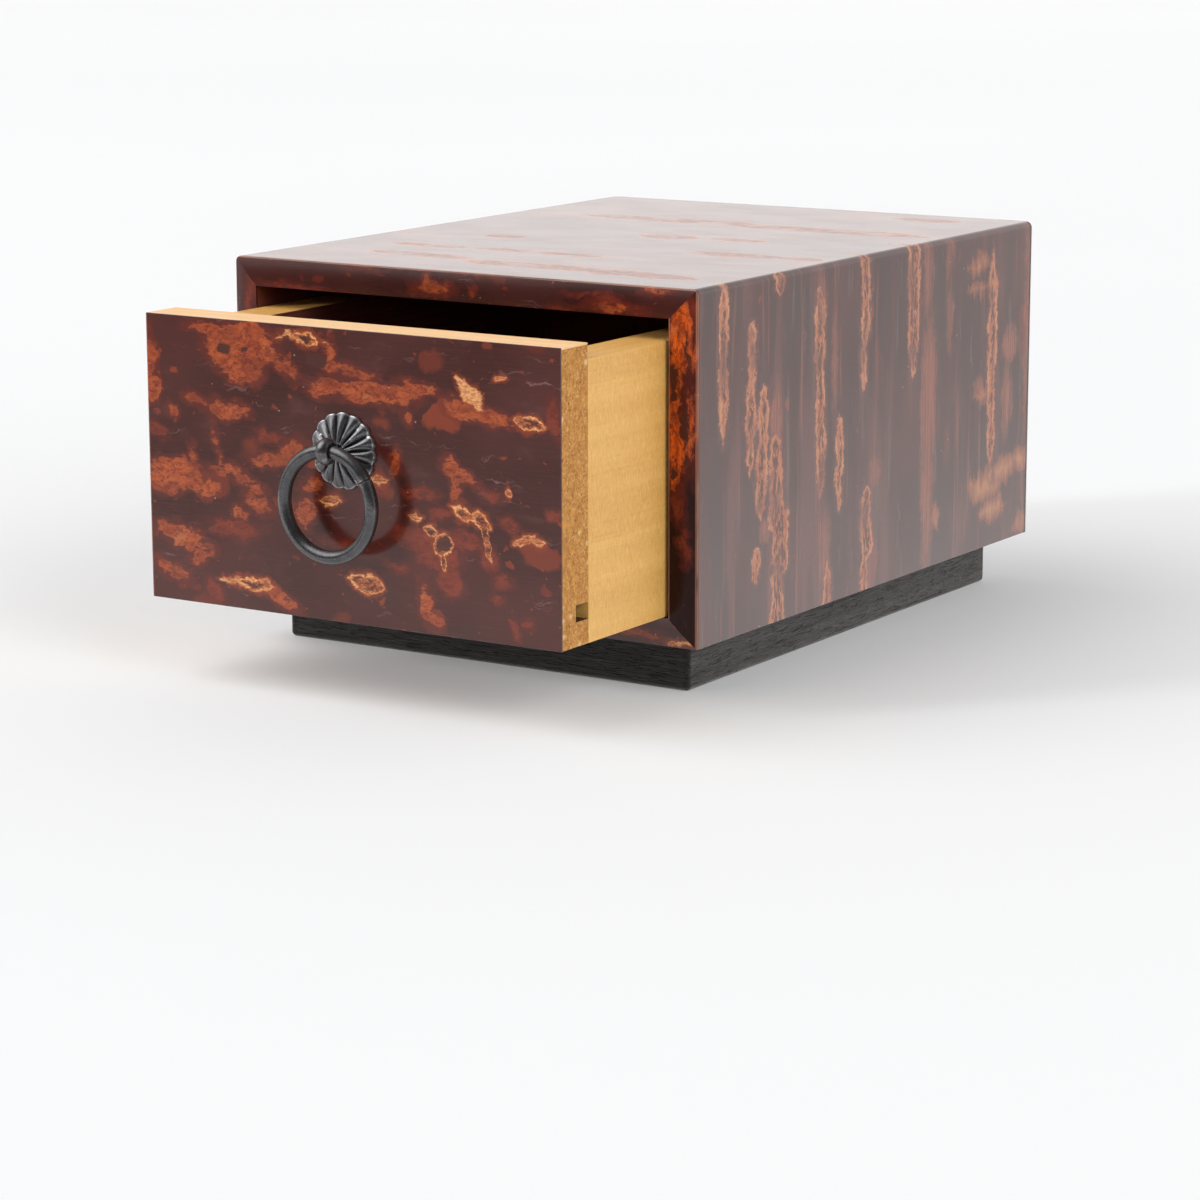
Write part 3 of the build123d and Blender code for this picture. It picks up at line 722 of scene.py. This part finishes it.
def black_iron(name, ridge_wear_and_sheen):
    """Blued, waxed iron. The second argument is how much its ridges are lightened: partly wear, partly painted
    highlight.
    """
    net = Net(name)
    cloud = net.noise(net.place, (2.6, 2.6, 2.6), 3.0, 0.6)
    colour = net.mix(net.step(cloud, 0.34, 0.68), (0.078, 0.080, 0.086), (0.112, 0.116, 0.122))
    scale = net.noise(net.place, (0.55, 0.55, 0.55), 3.0, 0.65)
    colour = net.mix(net.step(scale, 0.56, 0.74, 0, 0.5), colour, (0.055, 0.057, 0.062))
    # the ridges, found by pointiness, lightened towards pale iron: wear with painted highlight
    worn = net.node("ShaderNodeNewGeometry").outputs["Pointiness"]
    colour = net.mix(net.step(worn, 0.49, 0.57, 0, ridge_wear_and_sheen), colour, (0.50, 0.51, 0.53))
    height = net.calc("MULTIPLY_ADD", cloud, 1.2, scale)
    return net.finish(colour, net.step(scale, 0.3, 0.7, 0.25, 0.33), height, 0.022, metallic=0.9)


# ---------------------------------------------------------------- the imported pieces

def soften(obj, width):
    """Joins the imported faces, rounds the hard arrises a little and lets the flat faces keep their shading."""
    weld = obj.modifiers.new("weld", "WELD")
    weld.merge_threshold = 1e-6
    bevel = obj.modifiers.new("arris", "BEVEL")
    bevel.width = width * MM
    bevel.segments = 2
    bevel.limit_method = "ANGLE"
    bevel.angle_limit = math.radians(32)
    bevel.use_clamp_overlap = True
    even = obj.modifiers.new("shading", "WEIGHTED_NORMAL")
    even.keep_sharp = False
    even.weight = 100
    for face in obj.data.polygons:
        face.use_smooth = True


def paint_node(name, material, width):
    """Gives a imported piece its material, and its arrises their width in millimetres."""
    obj = NODES[name]
    obj.data.materials.clear()
    obj.data.materials.append(material)
    soften(obj, width)


def sawn(name, axis, end, inset, width):
    """One of bark's cuts: just in from a piece's low (0) or high (1) end along an axis."""
    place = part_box(name)[end][axis] / MM
    return axis, place + (inset if end == 0 else -inset), width


def dress_sheets():
    """The wrap, the back sheet and the drawer's front."""
    wrap = bark("bark_wrap", wrapped, bands=SIDE_BANDS + TOP_BANDS, patches=SIDE_TAN,
                streaks=SIDE_STREAKS + TOP_STREAKS + LEFT_STREAKS,
                patch_tone=STRAW, patch_edge=1.5, wild=0.08, long=1.8, relief=0.001)
    back = bark("bark_back", along_x, wild=0.30, long=1.6, **BACK_SHEET)
    front = bark("bark_front", along_x, FRONT_ORANGE, FRONT_RED, FRONT_LENSES, FRONT_CREAM, FRONT_PITS,
                 cut=[sawn("drawer_front_bark", 0, 0, 0.05, 0.25)], wild=0.52, gloss=0.38, coat=0.12)
    paint_node("casing_bark_wrap", wrap, 0.12)
    paint_node("casing_bark_back", back, 0.10)
    paint_node("drawer_front_bark", front, 0.10)


def dress_frame():
    """The frame's four strips."""
    # the top strip is darkened a little with painted shade
    top = bark("bark_strip_top", along_x, cut=[sawn("frame_bark_top", 2, 1, 0.1, 0.25)],
               wild=0.2, painted_shade=0.25, coat=0.15, **TOP_STRIP)
    paint_node("frame_bark_top", top, 0.10)
    # a wider arris would stand proud of the sharp ends that the bottom strip's mitres leave
    bottom = bark("bark_strip_bottom", along_x, wild=0.3, **BOTTOM_STRIP)
    paint_node("frame_bark_bottom", bottom, 0.03)
    left = bark("bark_strip_left", along_z, wild=0.15, coat=0.12, **LEFT_STRIP)
    paint_node("frame_bark_left", left, 0.10)
    # the right strip is darkened strongly with painted shade, standing in for the shadow of the drawer's side
    # beside it
    right = bark("bark_strip_right", along_z,
                 cut=[sawn("frame_bark_right", 0, 1, 0.1, 0.3), sawn("frame_bark_right", 0, 0, 0.1, 0.2)],
                 wild=0.3, painted_shade=0.78, gloss=0.15, coat=0.0, orange=FLAME, **RIGHT_STRIP)
    paint_node("frame_bark_right", right, 0.10)


def dress_woods():
    """The casing's boards, the plinth's rails and the drawer's box."""
    boards = stained_board()
    for side in ("top", "bottom", "left", "right", "back"):
        paint_node(f"casing_{side}_board", boards, 0.15)
    for side, along in (("front", 0), ("back", 0), ("left", 1), ("right", 1)):
        paint_node(f"plinth_{side}", black_wood(f"black_wood_{side}", along), 0.25)
    paint_node("drawer_front_board", particle_board(), 0.12)
    paint_node("drawer_front_edging", pale_edging(), 0.08)
    wood = drawer_wood()
    for part in ("left_side", "right_side"):
        paint_node(f"drawer_{part}", wood, 0.20)
    lining = drawer_lining()
    for part in ("back_board", "bottom"):
        paint_node(f"drawer_{part}", lining, 0.20)


def dress_pull():
    """The ring and its eye."""
    iron = black_iron("black_iron", 0.35)
    for part in ("pull_eye", "pull_ring"):
        paint_node(part, iron, 0.10)


# ---------------------------------------------------------------- the pull's rosette

def rosette():
    """The pull's back plate: one raised disc pressed into rounded flutes, with a scalloped rim."""
    low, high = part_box("pull_rosette")
    centre = ((low[0] + high[0]) / 2, (low[2] + high[2]) / 2)
    radius = (high[0] - low[0]) / 2
    rise = high[1] - low[1]
    flutes = 15
    around, rings = flutes * 14, 30
    hole = 1.5 * MM
    bite, depth, rim_lift, sheet = 0.42 * MM, 0.85 * MM, 0.55 * MM, 0.12 * MM

    def fold(angle):
        """1 on a ridge, 0 in the bottom of a flute."""
        return abs(math.cos(angle * flutes / 2)) ** 0.75

    def surface(share, angle):
        """Reach from the axis and rise above the back, that share of the way from the hole to the rim."""
        ridge = fold(angle)
        reach = hole + share * (radius - bite * (1 - ridge) - hole)
        fall = (reach / radius) ** 2
        dome = rise - (rise - rim_lift) * fall
        pressed = depth * (1 - ridge) * math.sin(math.pi * min(1.0, 0.12 + 0.80 * share)) ** 0.6
        return reach, max(sheet, dome - pressed)

    verts, faces = [], []

    def add_row(point):
        """One round of vertices. point gives each one's reach and rise from its angle."""
        for step in range(around):
            angle = 2 * math.pi * step / around
            reach, out = point(angle)
            x, z = centre[0] + reach * math.sin(angle), centre[1] + reach * math.cos(angle)
            verts.append((x, high[1] - out, z))

    def join_rows(first, second):
        for step in range(around):
            following = (step + 1) % around
            faces.append((first * around + step, first * around + following,
                          second * around + following, second * around + step))

    for ring in range(rings + 1):
        add_row(lambda angle: surface(ring / rings, angle))
    add_row(lambda angle: (surface(1.0, angle)[0], 0.0))
    add_row(lambda angle: (hole, 0.0))
    rows = rings + 3
    for row in range(rows):
        join_rows(row, (row + 1) % rows)

    mesh = bpy.data.meshes.new("rosette_plate")
    mesh.from_pydata(verts, [], faces)
    mesh.validate()
    mesh.update()
    mesh.shade_smooth()
    mesh.set_sharp_from_angle(angle=math.radians(60))
    obj = bpy.data.objects.new("rosette_plate", mesh)
    bpy.context.scene.collection.objects.link(obj)
    obj.data.materials.append(black_iron("black_iron_plate", 0.95))
    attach(obj, "drawer")
    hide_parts("pull_rosette")


# ---------------------------------------------------------------- room, light and camera

# where the pale room has windows: direction, the cosines of its soft edge and of its core, strength
WINDOWS = [
    ((-0.50, -0.42, 0.80), 0.82, 0.94, 2.7),
    ((-0.88, -0.30, 0.40), 0.84, 0.94, 0.7),
]
# direction, strength, and the angle that softens its shadows, in degrees
LAMPS = {
    "lamp_front_left": ((-0.80, -1.0, 0.36), 1.60, 9),
    "lamp_right": ((1.0, -0.38, 0.55), 1.65, 35),
    "lamp_fill": ((0.54, -0.82, 0.22), 0.22, 14),
}


def floor():
    """A wide pale floor that glows a little, so that it runs into the room without a horizon."""
    net = Net("pale_floor")
    cloud = net.noise(net.place, (900, 900, 900), 2.0)
    colour = net.mix(net.step(cloud, 0.3, 0.7), (0.60, 0.628, 0.642), (0.62, 0.648, 0.662))
    material = net.finish(colour, 0.9, emission_color=(1.0, 1.0, 1.0), emission_strength=0.170)
    half = 12.0
    corners = [(-half, -half, 0), (half, -half, 0), (half, half, 0), (-half, half, 0)]
    mesh = bpy.data.meshes.new("floor")
    mesh.from_pydata(corners, [], [(0, 1, 2, 3)])
    obj = bpy.data.objects.new("floor", mesh)
    bpy.context.scene.collection.objects.link(obj)
    obj.data.materials.append(material)
    obj.visible_glossy = False


def room():
    """A pale room, brightest behind the object, and low in front, where the drawer's front mirrors it."""
    world = bpy.data.worlds.new("studio")
    world.use_nodes = True
    net = Tree(world.node_tree)
    direction = net.node("ShaderNodeTexCoord").outputs["Generated"]
    _, y, z = net.split(direction)
    behind = net.calc("MULTIPLY", net.step(y, -0.55, 0.70), net.step(z, -0.15, 0.15, 0.97, 1.32))
    behind = net.calc("MULTIPLY", behind, net.step(z, 0.30, 0.75, 1.0, 0.30))
    glow = net.calc("MULTIPLY", net.step(z, -0.13, -0.225, 0.0, 2.7), net.step(z, -0.228, -0.245, 1.0, 0.25))
    glow = net.calc("MULTIPLY", glow, net.step(y, -0.3, 0.3, 1.0, 0.30))
    level = net.calc("ADD", net.calc("ADD", behind, 0.05), glow)
    for towards, edge, core, strength in WINDOWS:
        window = net.vector("DOT_PRODUCT", direction, tuple(Vector(towards).normalized()))
        level = net.calc("MULTIPLY_ADD", net.step(window, edge, core), strength, level)
    light = net.node("ShaderNodeBackground")
    net.feed(light.inputs["Strength"], level)
    light.inputs["Color"].default_value = (1.0, 0.948, 0.934, 1)
    out = net.node("ShaderNodeOutputWorld")
    net.feed(out.inputs[0], light.outputs[0])
    bpy.context.scene.world = world


def lamps():
    for name, (towards, strength, angle) in LAMPS.items():
        lamp = bpy.data.lights.new(name, "SUN")
        lamp.energy = strength
        lamp.angle = math.radians(angle)
        obj = bpy.data.objects.new(name, lamp)
        obj.rotation_euler = Vector(towards).to_track_quat("Z", "Y").to_euler()
        bpy.context.scene.collection.objects.link(obj)
        obj.visible_glossy = False


def camera():
    """The photograph's own view, from the camera that was fitted to the box's edges."""
    azimuth, elevation, roll = (math.radians(a) for a in (32.518, 11.868, -0.136))
    target = Vector((0.031218, -0.0461, 0.017079))
    distance = 0.68312
    level = math.cos(elevation)
    back = Vector((math.sin(azimuth) * level, -math.cos(azimuth) * level, math.sin(elevation)))
    right = (-back).cross(Vector((0, 0, 1))).normalized()
    up = right.cross(-back)
    right, up = right * math.cos(roll) + up * math.sin(roll), up * math.cos(roll) - right * math.sin(roll)
    data = bpy.data.cameras.new("camera")
    data.sensor_width = 36
    data.lens = 110.877
    data.clip_start = 0.01
    data.clip_end = 60
    obj = bpy.data.objects.new("camera", data)
    place = Matrix((right, up, back)).transposed().to_4x4()
    place.translation = target + back * distance
    obj.matrix_world = place
    bpy.context.scene.collection.objects.link(obj)
    bpy.context.scene.camera = obj


camera()
floor()
room()
lamps()
dress_sheets()
dress_frame()
dress_woods()
dress_pull()
rosette()
bpy.context.scene.view_settings.view_transform = "Standard"
